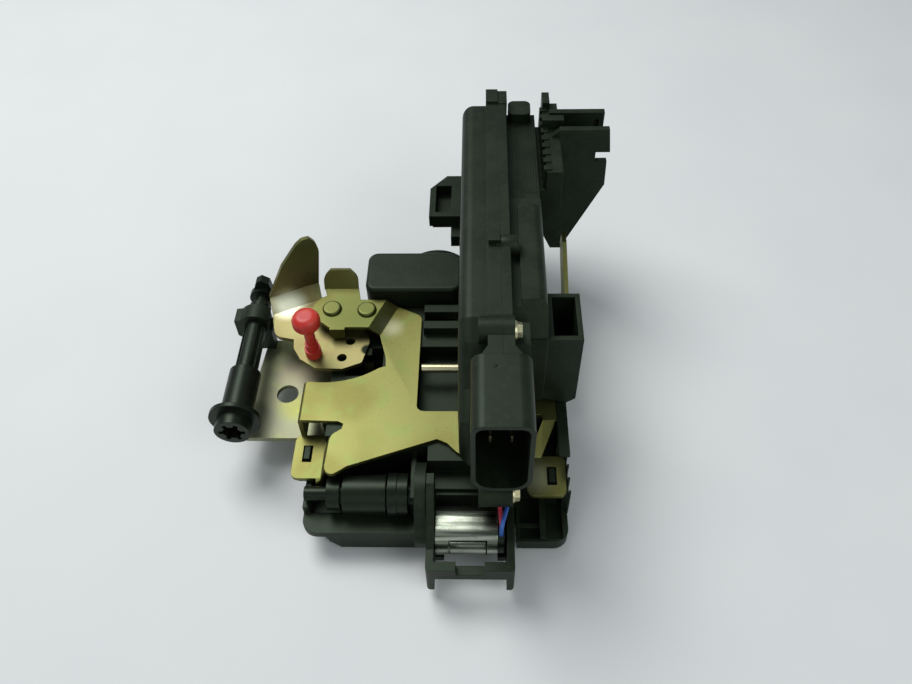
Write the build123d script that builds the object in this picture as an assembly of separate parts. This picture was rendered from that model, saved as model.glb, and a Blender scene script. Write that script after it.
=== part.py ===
from build123d import *
import math
import os

# Vehicle door latch with its lock actuator.
# Origin: a point on the outer face of the steel face plate, beside the striker slot.
# +Z runs from the face plate to the back plate, +Y is the way the striker leaves,
# +X points at the actuator side.  All sizes are millimetres.

# ---- driving dimensions: sheet metal -------------------------------------------------
FACE_T = 2.0            # face plate sheet
BACK_T = 1.5            # back plate sheet
LEVER_T = 1.8           # release lever sheet
BACK_TOP = 28.0         # upper face of the back plate
JOGGLE = 3.0            # step of the back plate over the release lever
WING_TOP = 12.0         # upper face of the key-side wing
FOOT_TOP = 18.0         # upper face of the two clip feet
RUN = 0.05              # radial running clearance of pins in moving parts

# ---- driving dimensions: catch mechanism ---------------------------------------------
SLOT_W = 13.0           # striker slot width
SLOT_END = 24.0         # closed end of the striker slot
CLAW_AT = (-18.5, 33.0)
CLAW_PIN_R = 4.0
CLAW_R = 25.0           # outer radius of the claw
CLAW_JAW_R = 18.5       # striker centre from the claw pivot
CLAW_JAW_W = 10.5
CLAW_Z = (4.0, 10.0)
CLAW_OPEN = 60.0        # angle of the open jaw
PAWL_AT = (13.0, 31.0)
PAWL_PIN_R = 3.0
TAIL_Z = (10.6, 13.6)   # layer of the pawl tail
ROOF_Z = (14.5, 16.5)   # roof of the catch cavity
LEVER_AT = (-31.6, 33.5)
LEVER_PIN_R = 2.5
LEVER_Z = 23.5          # underside of the release lever

# ---- driving dimensions: actuator ----------------------------------------------------
COVER_X = 17.0          # outer face of the cover bulge
FLANGE_X = 26.0         # cover flange starts
SEAM_X = 30.5           # parting plane of cover and base
BASE_FLANGE_X = 33.5
BASE_X = 45.0           # outer face of the base
WALL = 2.0
HOOD = (21.0, 39.0, -49.3, -24.0, 42.0, 76.0)   # connector hood box
HOOD_WALL = 1.4
SCREW_R = 1.5
HEAD_R = 3.2

# ---- driving dimensions: key shaft, motor cage, gears --------------------------------
KEY_AT = (-61.2, 24.5)  # x and z of the key shaft axis
MOTOR_AT = (-47.5, 13.0)  # y and z of the cage motor axis
SPINDLE_AT = (-37.3, 18.2)  # y and z of the drive spindle axis
MOTOR_W, MOTOR_T = 16.0, 12.0
GEAR_MODULE = 0.6
PINION_TEETH, WHEEL_TEETH = 10, 28
GEAR_BACKLASH = 0.22

os.makedirs("parts", exist_ok=True)


def save(shape, node):
    shape.label = node
    export_step(shape, f"parts/{node}.step")


def block(x0, x1, y0, y1, z0, z1):
    """Box between two opposite corners."""
    return Pos((x0 + x1) / 2, (y0 + y1) / 2, (z0 + z1) / 2) * Box(x1 - x0, y1 - y0, z1 - z0)


def rod(radius, start, length, axis="z"):
    """Cylinder from a start point along +X, +Y or +Z."""
    turn = {"x": Rot(0, 90, 0), "y": Rot(-90, 0, 0), "z": Rot(0, 0, 0)}[axis]
    lift = Pos(0, 0, length / 2)
    return Pos(*start) * turn * lift * Cylinder(radius, length)


def slab(points, low, high, normal="z"):
    """Polygon extruded along an axis: XY points for z, YZ points for x, XZ points for y."""
    if normal == "z":
        corners = [(a, b, low) for a, b in points]
        way = (0, 0, high - low)
    elif normal == "x":
        corners = [(low, a, b) for a, b in points]
        way = (high - low, 0, 0)
    else:
        corners = [(a, low, b) for a, b in points]
        way = (0, high - low, 0)
    return Solid.extrude(Face(Wire.make_polygon([Vector(*c) for c in corners])), Vector(*way))


def round_edges(shape, radius, axis=Axis.Z, keep=None):
    """Fillet the edges parallel to an axis, where keep(edge centre) is true."""
    edges = shape.edges().filter_by(axis)
    if keep:
        edges = edges.filter_by(lambda e: keep(e.center()))
    return fillet(edges, radius)


def polar(centre, radius, degrees):
    a = math.radians(degrees)
    return (centre[0] + radius * math.cos(a), centre[1] + radius * math.sin(a))


def arc_points(centre, radius, start, end, steps):
    return [polar(centre, radius, start + (end - start) * i / steps) for i in range(steps + 1)]


def tilted_sheet(points, origin, along, normal, thickness):
    """Flat sheet on a tilted plane; points are (along, up) from the origin."""
    plane = Plane(origin=origin, x_dir=along, z_dir=normal)
    corners = [plane.from_local_coords((a, b, 0)) for a, b in points]
    return Solid.extrude(Face(Wire.make_polygon(corners)), plane.z_dir * -thickness)


def ramp(start, end, shift, thickness, grow=(0.0, 0.0)):
    """Sloping strip of sheet from an upper edge to a parallel one, shifted and lengthened."""
    a, b, shift = Vector(*start), Vector(*end), Vector(*shift)
    along = (b - a).normalized()
    corners = [a, b, b + shift + along * grow[1], a + shift - along * grow[0]]
    return Solid.extrude(Face(Wire.make_polygon(corners)), Vector(0, 0, -thickness))


# ---- face plate: outer sheet with the striker slot and the raised key-side wing ------
WING = [(-62.8, -11.5), (-31.0, -11.5), (-31.0, 34.0), (-59.0, 34.0)]
NUTS = [(-20.0, -26.0), (40.0, -24.0), (40.0, 46.0)]
NUT_R, NUT_BORE, NUT_TOP = 5.0, 2.5, 7.0
WING_HOLE = (-48.0, 8.0)
WING_HOLE_R = 4.0


def make_face_plate():
    flat = round_edges(block(-31.0, 51.0, -40.0, 58.0, 0, FACE_T), 5.0)
    slot = block(-SLOT_W / 2, SLOT_W / 2, SLOT_END + SLOT_W / 2, 60.0, 0, FACE_T)
    slot += rod(SLOT_W / 2, (0, SLOT_END + SLOT_W / 2, 0), FACE_T)
    riser = block(-33.0, -31.0, -11.5, 34.0, 0, WING_TOP)
    foot = block(-33.0, -26.0, -11.5, 34.0, 0, FACE_T)
    wing = round_edges(slab(WING, WING_TOP - FACE_T, WING_TOP), 3.0, keep=lambda c: c.X < -50)
    plate = flat - slot + riser + foot + wing
    for x, y in NUTS:
        plate += rod(NUT_R, (x, y, 0), NUT_TOP)
    for x, y in NUTS:
        plate -= rod(NUT_BORE, (x, y, 0), NUT_TOP)
    plate -= rod(WING_HOLE_R, (*WING_HOLE, WING_TOP - FACE_T), FACE_T)
    plate -= rod(CLAW_PIN_R, (*CLAW_AT, 0), FACE_T)
    plate -= rod(PAWL_PIN_R, (*PAWL_AT, 0), FACE_T)
    return plate


# ---- back plate: yellow sheet with joggle, window, feet and tabs ----------------------
BACK_LOW = BACK_TOP - BACK_T
RAISED_TOP = BACK_TOP + JOGGLE
RAISED_LOW = RAISED_TOP - BACK_T
NOTCH_X = (2.0, 25.5)    # open notch for the lock rod and the case's ribs
NOTCH_Y = -10.7
SIDE_RELIEF_R = 32.0    # lever opening, measured from the lever pivot
BACK_OUTLINE = [
    (-37.0, -14.6), (-24.5, -15.0), (-22.6, -16.0), (-23.0, -18.0), (-26.6, -20.6), (-27.2, -33.0),
    (-26.4, -35.0), (-24.4, -35.8), (-22.0, -34.2), (-19.8, -32.6), (9.4, -22.0),
    (12.8, -23.6), (17.0, -28.0), (36.0, -28.0), (36.0, -12.0), (44.6, -12.0), (45.0, -14.4),
    (49.5, -14.4), (49.5, 30.0), (NOTCH_X[1], 30.0), (NOTCH_X[1], NOTCH_Y),
    (NOTCH_X[0], NOTCH_Y), (NOTCH_X[0], 32.7), (-7.5, 37.5), (-13.2, 23.4),
    (-10.3, 12.9), (-10.0, 8.8),
]
RAISED_FRONT, RAISED_REAR = 24.6, 38.3
TAB_BEND = 44.9


def make_back_plate():
    relief = arc_points(LEVER_AT, SIDE_RELIEF_R, -53.0, -99.0, 8)
    outline = BACK_OUTLINE + relief + [(-37.0, 1.5)]
    plate = slab(outline, BACK_LOW, BACK_TOP)
    plate = round_edges(plate, 2.5, keep=lambda c: abs(c.Y - NOTCH_Y) < 0.01)
    end = arc_points(LEVER_AT, 7.4, 112.0, 248.0, 10)
    raised = [(-17.2, RAISED_FRONT), (-11.6, RAISED_REAR), (-21.4, RAISED_REAR), (-22.6, TAB_BEND)]
    raised += [(-35.7, TAB_BEND)] + end + [(-32.0, RAISED_FRONT)]
    plate += slab(raised, RAISED_LOW, RAISED_TOP)
    plate += ramp((-17.2, RAISED_FRONT, RAISED_TOP), (-11.6, RAISED_REAR, RAISED_TOP),
                  (4.3, -1.2, -JOGGLE), BACK_T, grow=(0.0, 0.3))
    tab = [(-6.5, 0), (6.5, 0), (6.5, 5.5), (3.7, 8.4), (-3.7, 8.4), (-6.5, 5.5)]
    plate += tilted_sheet(tab, (-29.2, TAB_BEND - 1.2, RAISED_TOP - 0.3), (1, 0, 0), (0, -0.93, 0.37), BACK_T)
    plate += block(-31.6, -26.0, RAISED_FRONT - 1.2, RAISED_FRONT + 0.4, 25.9, RAISED_TOP)
    # side flange that turns down beside the key-side wing
    flange = block(-38.6, -37.0, -14.6, 1.5, 17.0, BACK_TOP)
    plate += fillet(flange.edges().filter_by(Axis.Y).sort_by(Axis.Z)[-2:].sort_by(Axis.X)[0], 1.4)
    # left foot, outside the front corner
    plate += ramp((-26.8, -21.0, BACK_TOP), (-26.8, -32.4, BACK_TOP),
                  (-3.2, 0, FOOT_TOP - BACK_TOP), 2.4)
    foot = round_edges(block(-40.4, -29.0, -31.4, -14.2, FOOT_TOP - BACK_T, FOOT_TOP), 2.6,
                       keep=lambda c: c.X < -35)
    foot += block(-31.6, -29.0, -32.4, -21.0, FOOT_TOP - 2.4, FOOT_TOP)
    plate += foot - block(-37.2, -34.0, -25.0, -18.4, FOOT_TOP - BACK_T, FOOT_TOP)
    # right foot, reached by a narrow slanting strip
    plate += ramp((49.5, -14.0, BACK_TOP), (45.0, -14.0, BACK_TOP),
                  (-5.0, -9.0, FOOT_TOP - BACK_TOP), BACK_T)
    right = round_edges(block(39.4, 52.4, -37.6, -22.4, FOOT_TOP - BACK_T, FOOT_TOP), 2.5,
                        keep=lambda c: c.Y < -30)
    plate += right - block(46.2, 49.4, -33.4, -26.4, FOOT_TOP - BACK_T, FOOT_TOP)
    for centre, radius in ((CLAW_AT, CLAW_PIN_R - 1.0), (LEVER_AT, LEVER_PIN_R)):
        plate -= rod(radius, (*centre, RAISED_LOW), BACK_T)
    return plate


# ---- release lever: plate on its pivot with an upright blade --------------------------
LEVER_TOP = LEVER_Z + LEVER_T
BLADE_FOOT = ((-57.0, 41.5), (-39.0, 49.54))     # line where the blade stands up
BLADE_WAY = (0.913, 0.408, 0.0)
BLADE_Z = 28.6
LEVER_HOLES = [(-26.7, 14.8), (-24.3, 22.6)]
PIN_AT = (-37.2, 16.6)
PIN_R = 1.9
FINGER = (-19.5, -16.0, 17.0, 20.5)     # down-turned finger that pushes the pawl tail


def make_release_lever():
    body = [(-17.0, 22.6), (-19.2, 12.6), (-26.2, 9.6), (-36.0, 10.0), (-42.0, 14.1), (-45.1, 19.2),
            (-45.7, 23.5), (-53.0, 25.1), (-55.4, 34.8), (-55.4, 36.0), (-37.4, 44.0),
            (-34.0, 40.2), (-26.0, 38.0), (-24.2, 32.0), (-18.4, 27.2)]
    lever = slab(body, LEVER_Z, LEVER_TOP)
    lever = round_edges(lever, 1.5, keep=lambda c: c.Y < 22)
    foot_a, foot_b = BLADE_FOOT
    lever += ramp((*foot_a, BLADE_Z), (*foot_b, BLADE_Z), (1.6, -6.0, LEVER_TOP - BLADE_Z), LEVER_T)
    blade = [(0, 0), (7.5, 12.1), (14.6, 19.5), (17.3, 21.1), (20.0, 21.0), (22.0, 18.6),
             (22.6, 14.6), (19.7, 0)]
    lever += tilted_sheet(blade, (*foot_a, BLADE_Z), BLADE_WAY, (0.408, -0.913, 0.15), LEVER_T)
    lever += tilted_sheet([(0, 0), (19.7, 0), (19.7, -2.2), (0, -2.2)], (*foot_a, BLADE_Z),
                          BLADE_WAY, (0.408, -0.913, 0.15), LEVER_T)
    for x, y in LEVER_HOLES:
        lever -= rod(1.75, (x, y, LEVER_Z), LEVER_T)
    lever -= rod(PIN_R + RUN, (*PIN_AT, LEVER_Z), LEVER_T)
    lever -= rod(LEVER_PIN_R + RUN, (*LEVER_AT, LEVER_Z), LEVER_T)
    x0, x1, y0, y1 = FINGER
    lever += block(x0, x1, y0, y1, TAIL_Z[0] + 0.2, LEVER_Z + 0.5)
    return lever


# ---- claw and pawl on their pins ------------------------------------------------------
CLAW_HUB_R = 8.0
CAVITY_GAP = 0.8


def make_claw():
    low, high = CLAW_Z[0], CLAW_Z[1] - 0.4
    disc = rod(CLAW_R, (*CLAW_AT, low), high - low)
    kept = [CLAW_AT] + arc_points(CLAW_AT, CLAW_R + 5, CLAW_OPEN - 62, CLAW_OPEN + 28, 6)
    claw = disc & slab(kept, low, high)
    claw += rod(CLAW_HUB_R, (*CLAW_AT, low), high - low)
    seat = polar(CLAW_AT, CLAW_JAW_R, CLAW_OPEN)
    out = polar(CLAW_AT, CLAW_R + 12, CLAW_OPEN)
    side = math.radians(CLAW_OPEN + 90)
    dx, dy = CLAW_JAW_W / 2 * math.cos(side), CLAW_JAW_W / 2 * math.sin(side)
    jaw = [(seat[0] - dx, seat[1] - dy), (out[0] - dx, out[1] - dy), (out[0] + dx, out[1] + dy),
           (seat[0] + dx, seat[1] + dy)]
    claw -= slab(jaw, low, high)
    claw -= rod(CLAW_JAW_W / 2, (*seat, low), high - low)
    return claw - rod(CLAW_PIN_R + RUN, (*CLAW_AT, low), high - low)


PAWL_TAIL = [(4.0, 14.2), (-19.8, 11.2), (-20.6, 14.6), (-14.0, 16.4), (2.4, 19.0)]


def make_pawl():
    arm = slab([(17.0, 28.6), (9.0, 14.4), (3.6, 16.4), (4.6, 19.4), (9.2, 32.6)], *CLAW_Z)
    pawl = arm + rod(5.0, (*PAWL_AT, CLAW_Z[0]), CLAW_Z[1] - CLAW_Z[0])
    pawl += slab([(9.0, 14.4), (3.8, 14.0)] + [(3.6, 19.6), (9.2, 22.0)], CLAW_Z[1] - 0.1, TAIL_Z[1])
    pawl += slab(PAWL_TAIL, *TAIL_Z)
    return pawl - rod(PAWL_PIN_R + RUN, (*PAWL_AT, CLAW_Z[0]), CLAW_Z[1] - CLAW_Z[0])


def make_claw_pin():
    pin = rod(CLAW_PIN_R, (*CLAW_AT, 0), LEVER_TOP + 1.0)
    pin += rod(CLAW_PIN_R - 1.0, (*CLAW_AT, LEVER_TOP + 1.0), RAISED_TOP - LEVER_TOP - 1.0)
    return pin + make_rivet_head(CLAW_AT, RAISED_TOP, 3.6)


def make_pawl_pin():
    return rod(PAWL_PIN_R, (*PAWL_AT, 0), RIB_FLOOR)


def make_rivet_head(at, z, radius):
    """Low domed head formed over the sheet."""
    head = rod(radius, (*at, z), 1.3)
    return fillet(head.edges().sort_by(Axis.Z)[-1], 1.0)


def make_lever_pin():
    pin = rod(LEVER_PIN_R, (*LEVER_AT, ROOF_Z[1]), RAISED_TOP - ROOF_Z[1])
    return pin + make_rivet_head(LEVER_AT, RAISED_TOP, 3.6)


def make_coil(centre, radius, wire, z, turns, legs):
    """Torsion spring: close-wound turns about Z, each a ring, with two straight legs."""
    pitch = 0.86 * wire
    section = Circle(wire / 2)
    for turn in range(1, turns):
        section += Pos(0, turn * pitch) * Circle(wire / 2)
    coil = Rot(0, 0, 130) * revolve(Plane.XZ * Pos(radius, 0) * section, Axis.Z)
    leg_r = 0.42 * wire
    spring = Pos(*centre, z) * coil
    for side, leg_z, length in ((1, z, legs[0]), (-1, z + (turns - 1) * pitch, legs[1])):
        spring += rod(leg_r, (centre[0] + side * radius, centre[1] - length, leg_z), length, "y")
    return spring


def make_claw_spring():
    return make_coil(CLAW_AT, 5.2, 1.0, CLAW_Z[1] + 0.6, 3, (5.8, 5.8))


def make_pawl_spring():
    return make_coil(PAWL_AT, 4.1, 0.9, CLAW_Z[1] + 0.8, 3, (3.0, 3.0))


def make_lever_spring():
    return make_coil(LEVER_AT, 4.0, 1.0, LEVER_TOP + 0.9, 3, (7.2, 6.4))


def make_emergency_pin():
    """Red pull-out pin: spigot, collar, stem and mushroom head."""
    pin = rod(PIN_R, (*PIN_AT, LEVER_Z - 1.2), 20.0)
    pin += rod(3.0, (*PIN_AT, LEVER_TOP + 0.02), 3.4) + rod(2.4, (*PIN_AT, LEVER_TOP + 3.4), 3.0)
    head = rod(5.0, (*PIN_AT, 40.6), 6.2)
    head = fillet(head.edges().sort_by(Axis.Z)[-1], 2.9)
    head = fillet(head.edges().sort_by(Axis.Z)[0], 2.0)
    return pin + head


# ---- latch housing: moulded case between the two sheets --------------------------------
CASE = (-30.4, 53.3, -48.5, 38.0)
TUB_X = -35.2           # left wall of the front tub
LEDGE_Y = -41.0
LEDGE_Z = 12.0
POCKET_Z = ROOF_Z[1] + 5.5
RIB_FLOOR = 24.4


def catch_cavity():
    """Room for the claw and pawl over all their travel."""
    low, high = FACE_T, ROOF_Z[0]
    sector = [CLAW_AT] + arc_points(CLAW_AT, CLAW_R + 7, -66.0, 90.0, 12)
    room = rod(CLAW_R + CAVITY_GAP, (*CLAW_AT, low), high - low) & slab(sector, low, high)
    room += rod(CLAW_HUB_R + CAVITY_GAP, (*CLAW_AT, low), high - low)
    room += rod(6.3, (*PAWL_AT, low), high - low)
    room += slab([(19.0, 29.0), (19.0, 8.0), (4.0, 2.5), (-26.0, 3.5), (-26.0, 21.0), (-4.0, 21.0),
                  (6.0, 24.0), (7.5, 33.0)], low, high)
    return room


def make_latch_housing():
    x0, x1, y0, y1 = CASE
    case = round_edges(block(x0, x1, y0, y1, FACE_T, BACK_LOW), 5.0)
    case += rod(7.0, (*LEVER_AT, WING_TOP + 0.3), POCKET_Z - WING_TOP - 0.3)
    case -= catch_cavity()
    # front tub: it reaches left under the foot and has a low ledge along its front
    tub = block(TUB_X, -20.0, y0, -16.0, FACE_T, FOOT_TOP - 2.6)
    case += round_edges(tub, 5.0, keep=lambda c: c.X < TUB_X + 0.1 and c.Y < y0 + 0.1)
    case -= block(TUB_X, 8.0, y0, LEDGE_Y, LEDGE_Z, BACK_LOW)
    case -= slab([(TUB_X, y0), (-23.0, y0), (-27.0, y0 + 2.0), (TUB_X, y0 + 9.0)], FACE_T, LEDGE_Z - 2.5)
    # open front bay for the drive spindle and its wheel, with one bearing rib
    bay = block(TUB_X + WALL, 6.4, LEDGE_Y, -24.0, 6.5, BACK_LOW)
    bay += block(2.6, 6.4, y0, -24.0, 8.6, BACK_LOW)
    case -= bay - block(0.9, 2.5, LEDGE_Y, -24.0, 6.5, 22.5)
    case -= rod(4.0 + RUN, (0.0, *SPINDLE_AT), 3.0, "x")
    case -= rod(2.5 + RUN, (TUB_X + 0.6, *SPINDLE_AT), WALL, "x")
    case -= block(6.4, x1, y0, -29.5, 19.5, BACK_LOW)
    case -= block(6.4, 36.0, y0, -36.0, FACE_T, BACK_LOW)
    # right front bay with its crossing bars
    case -= block(37.0, 51.3, y0 + 1.2, -30.5, 4.0, 19.5)
    case -= block(36.0, x1, y0, -35.6, 7.0, BACK_LOW)
    case += block(43.6, 45.6, y0 + 0.6, -30.0, 3.0, 9.0)
    case += block(36.5, 44.0, -43.4, -41.8, 3.0, 7.0)
    case += block(49.7, 53.3, -28.0, -4.0, 16.0, BACK_TOP)
    # clearance and snap lugs for the two feet of the back plate
    case -= block(TUB_X, -24.5, LEDGE_Y, -20.0, FOOT_TOP - 2.6, BACK_LOW)
    case -= block(TUB_X, -28.6, -20.0, -14.0, FOOT_TOP - 2.6, BACK_LOW)
    case -= block(38.0, 49.6, y0, -12.5, FOOT_TOP - 1.6, BACK_LOW)
    case -= block(38.0, x1, y0, -22.0, FOOT_TOP - 1.6, BACK_LOW)
    case += block(-38.6, TUB_X + 1.0, -29.0, -16.0, 12.0, FOOT_TOP - 2.6)
    case += block(-36.6, -34.6, -24.2, -19.2, FOOT_TOP - 2.7, FOOT_TOP + 0.8)
    case += block(46.8, 48.8, -32.6, -27.2, FOOT_TOP - 2.7, FOOT_TOP + 0.8)
    case += block(45.8, 49.8, -34.0, -26.0, 6.0, FOOT_TOP - 1.6)
    # room for the release lever and, in the window, for the lock rod
    case -= slab([(-40.0, 0.5), (-12.0, 0.5), (-9.0, 9.0), (-9.0, 40.0), (-40.0, 42.0)],
                 POCKET_Z, BACK_LOW)
    case -= block(2.0, 26.0, -9.5, 19.0, POCKET_Z - 2.0, BACK_LOW)
    case -= block(-25.5, -12.0, 9.0, 22.0, ROOF_Z[0], POCKET_Z)
    case -= make_striker_buffer()
    # two ribs that rise through the notch of the back plate
    case -= block(3.0, 18.0, 28.2, 32.6, RIB_FLOOR, BACK_LOW)
    for y in (24.6, 32.6):
        case += block(3.0, 18.0, y, y + 3.6, BACK_LOW - 1.0, BACK_TOP + 2.4)
    # striker slot
    case -= block(-SLOT_W / 2, SLOT_W / 2, SLOT_END + SLOT_W / 2, 60.0, FACE_T, ROOF_Z[1] + 7.0)
    case -= rod(SLOT_W / 2, (0, SLOT_END + SLOT_W / 2, FACE_T), ROOF_Z[1] + 7.0 - FACE_T)
    for x, y in NUTS:
        case -= rod(NUT_R + 0.3, (x, y, FACE_T), NUT_TOP + 0.5 - FACE_T)
    for at, radius in ((CLAW_AT, CLAW_PIN_R), (PAWL_AT, PAWL_PIN_R)):
        case -= rod(radius, (*at, FACE_T), BACK_LOW - FACE_T)
    case -= rod(LEVER_PIN_R, (*LEVER_AT, ROOF_Z[1]), 12.0)
    # hollow rear right corner, closed by the back plate
    case -= block(22.0, 47.0, 0.0, 35.5, 6.0, BACK_LOW)
    return case


STRIKER_BOX = (-19.4, 17.0, 38.8, 59.0)
STRIKER_TOP = 36.0


def make_striker_cover():
    """Closed hood over the claw and the mouth of the striker slot."""
    x0, x1, y0, y1 = STRIKER_BOX
    hood = round_edges(block(x0, x1, y0, y1, FACE_T, STRIKER_TOP), 4.0)
    nose = rod(13.0, (7.0, 54.0, FACE_T), 27.2)
    hood += nose - block(-20.0, 30.0, 67.0, 80.0, 0, STRIKER_TOP)
    top = hood.edges().filter_by(lambda e: e.center().Z > STRIKER_TOP - 0.1)
    hood = fillet(top, 1.5)
    inner = block(x0 + 1.2, x1 - WALL, y0 - 1, y1 - 1.2, FACE_T, STRIKER_TOP - WALL)
    hood -= inner - block(x0, x1, y0 - 1, y0 + WALL, ROOF_Z[1], STRIKER_TOP)
    hood -= catch_cavity()
    hood -= block(-SLOT_W / 2, SLOT_W / 2, y0, 80.0, FACE_T, ROOF_Z[1] + 7.0)
    return hood


def make_striker_buffer():
    """Rubber block that stops the striker at the closed end of the slot."""
    return block(-4.5, 4.5, 21.6, 24.8, ROOF_Z[0] + 0.4, ROOF_Z[1] + 5.0)


# ---- gears ---------------------------------------------------------------------------
PRESSURE = math.radians(20.0)


def involute_angle(radius, base):
    roll = math.sqrt(max(radius * radius / (base * base) - 1.0, 0.0))
    return roll - math.atan(roll)


def gear(teeth, centre, x, width, phase=0.0):
    """Spur gear about an X axis; phase is the angle of a tooth centre in degrees."""
    pitch = GEAR_MODULE * teeth / 2
    base = pitch * math.cos(PRESSURE)
    root, tip = pitch - 1.25 * GEAR_MODULE, pitch + GEAR_MODULE
    half = (math.pi * GEAR_MODULE / 2 - GEAR_BACKLASH) / 2 / pitch + involute_angle(pitch, base)
    flank = [base if base > root else root] if base > root else [root]
    radii = flank + [pitch - GEAR_MODULE * 0.2, pitch + GEAR_MODULE * 0.4, tip]
    outline = []
    for tooth in range(teeth):
        middle = math.radians(phase) + 2 * math.pi * tooth / teeth
        spread = [half - involute_angle(max(r, base), base) for r in radii]
        left = [(root, -spread[0])] + [(r, -a) for r, a in zip(radii, spread)]
        right = [(r, a) for r, a in zip(reversed(radii), reversed(spread))] + [(root, spread[0])]
        for r, a in left + right:
            outline.append((centre[0] + r * math.cos(middle + a), centre[1] + r * math.sin(middle + a)))
    clean = [p for i, p in enumerate(outline) if math.dist(p, outline[i - 1]) > 1e-6]
    return slab(clean, x, x + width, "x")


# ---- drive spindle, its motor and the cage --------------------------------------------
WHEEL_X = 3.0
WHEEL_W = 2.8
MESH_ANGLE = math.degrees(math.atan2(MOTOR_AT[1] - SPINDLE_AT[1], MOTOR_AT[0] - SPINDLE_AT[0]))


def make_drive_spindle():
    spindle = rod(2.5, (TUB_X + 0.8, *SPINDLE_AT), 14.0, "x")
    spindle += rod(5.4, (-26.6, *SPINDLE_AT), 4.4, "x") + rod(4.0, (-22.4, *SPINDLE_AT), 2.0, "x")
    spindle += rod(6.4, (-21.2, *SPINDLE_AT), 14.2, "x")
    spindle += block(-21.2, -7.0, SPINDLE_AT[0] - 5.6, SPINDLE_AT[0], SPINDLE_AT[1] - 4.0, SPINDLE_AT[1])
    spindle += rod(4.6, (-7.0, *SPINDLE_AT), 3.0, "x") + rod(7.0, (-6.4, *SPINDLE_AT), 3.0, "x")
    spindle += rod(6.8, (-3.4, *SPINDLE_AT), 3.6, "x") + rod(4.0, (0.2, *SPINDLE_AT), 2.8, "x")
    return spindle


def make_spindle_wheel():
    return gear(WHEEL_TEETH, SPINDLE_AT, WHEEL_X, WHEEL_W, MESH_ANGLE)


def make_motor_pinion():
    pinion = gear(PINION_TEETH, MOTOR_AT, WHEEL_X, WHEEL_W, MESH_ANGLE + 180 + 180 / PINION_TEETH)
    return pinion - rod(1.0, (WHEEL_X, *MOTOR_AT), WHEEL_W, "x")


def make_motor_shaft():
    return rod(1.0, (WHEEL_X - 0.4, *MOTOR_AT), 26.0, "x")


def stadium_x(centre, width, thickness, x0, x1):
    """Flat-sided can about an X axis, its flats facing +Z and -Z."""
    side = (width - thickness) / 2
    can = block(x0, x1, centre[0] - side, centre[0] + side, centre[1] - thickness / 2,
                centre[1] + thickness / 2)
    for y in (-side, side):
        can += rod(thickness / 2, (x0, centre[0] + y, centre[1]), x1 - x0, "x")
    return can


CAN_X = (9.3, 29.4)
CAGE = (6.6, 34.7, -64.0, -36.0)
CAGE_Z = (4.0, 18.0)


def make_motor_can():
    can = stadium_x(MOTOR_AT, MOTOR_W, MOTOR_T, *CAN_X)
    can -= stadium_x(MOTOR_AT, MOTOR_W - 1.6, MOTOR_T - 1.6, CAN_X[0] + 0.8, CAN_X[1])
    low, high = MOTOR_AT[1] - 3.0, MOTOR_AT[1] + 4.4
    for x in (13.7, 25.6):
        can -= block(x, x + 0.4, -57.0, -51.0, low, high)
    can -= block(13.7, 26.0, -57.0, -51.0, high - 0.4, high)
    return can - rod(1.4, (CAN_X[0], *MOTOR_AT), 1.0, "x")


def make_motor_endcap():
    cap = stadium_x(MOTOR_AT, MOTOR_W - 1.2, MOTOR_T - 1.2, CAN_X[1], CAN_X[1] + 2.2)
    return cap - rod(1.0 + RUN, (CAN_X[1], *MOTOR_AT), 2.2, "x")


def make_motor_rotor():
    """Armature stack and commutator on the shaft."""
    rotor = rod(4.2, (CAN_X[0] + 3.0, *MOTOR_AT), 11.0, "x") + rod(2.2, (24.0, *MOTOR_AT), 3.6, "x")
    return rotor - rod(1.0, (CAN_X[0], *MOTOR_AT), 20.0, "x")


def make_motor_magnets():
    ring = stadium_x(MOTOR_AT, MOTOR_W - 1.6, MOTOR_T - 1.6, CAN_X[0] + 2.0, CAN_X[1] - 4.0)
    return ring - rod(4.6, (CAN_X[0] + 2.0, *MOTOR_AT), CAN_X[1] - CAN_X[0] - 6.0, "x")


def gear_room(wheel_r, pinion_r, x):
    """Prism round both gears, between the bearing rib and a given x."""
    front, rear = 6.3, x
    room = rod(wheel_r, (2.6, *SPINDLE_AT), front - 2.6, "x")
    room += rod(pinion_r, (2.6, *MOTOR_AT), rear - 2.6, "x")
    hull = [(MOTOR_AT[0], MOTOR_AT[1] - pinion_r),
            (MOTOR_AT[0] - 0.44 * pinion_r, MOTOR_AT[1] + 0.9 * pinion_r),
            (SPINDLE_AT[0] - 0.52 * wheel_r, SPINDLE_AT[1] + 0.85 * wheel_r),
            (SPINDLE_AT[0], SPINDLE_AT[1] - wheel_r)]
    return room + slab(hull, 2.6, rear, "x")


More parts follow.
